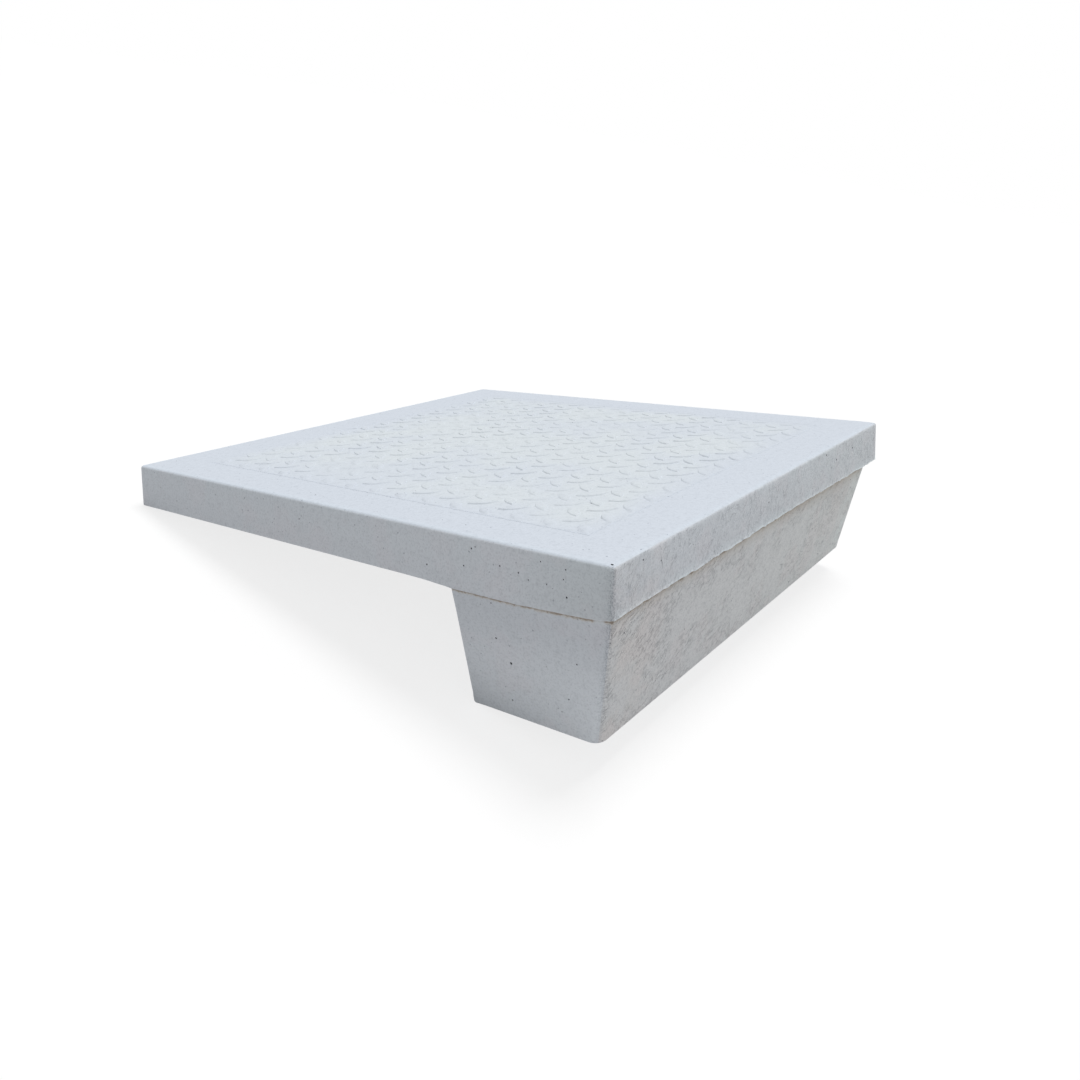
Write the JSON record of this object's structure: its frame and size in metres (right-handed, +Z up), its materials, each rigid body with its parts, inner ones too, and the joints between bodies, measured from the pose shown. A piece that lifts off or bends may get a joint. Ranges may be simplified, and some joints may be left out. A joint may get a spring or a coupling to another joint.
{
  "type": "garden step",
  "caption": "Precast concrete garden step: a near-square tread slab with a raised non-slip pattern, carried on a full-width tapered riser leg under its front edge",
  "frame": {"origin": "Middle of the bounding box in X and Y, at its lowest point, which is the ground that the step rests on", "axes": "X runs along the step's width, with the slab's mid-plane at X = 0; Y runs from the riser side to the back; Z is up. The step is stored as it rests unheld: its leg stands under the front edge only, so it leans back by 13.6 degrees onto the leg's inner foot edge and the slab's lower back edge. In use the tread is level: turn the step by +13.6 degrees about X."},
  "size_m": [0.619, 0.6424, 0.196],
  "materials": {
    "concrete": "smooth cast concrete, pale cool grey, matt, with small air holes"
  },
  "bodies": {
    "root": {"garden_step": "concrete"}
  },
  "joints": []
}
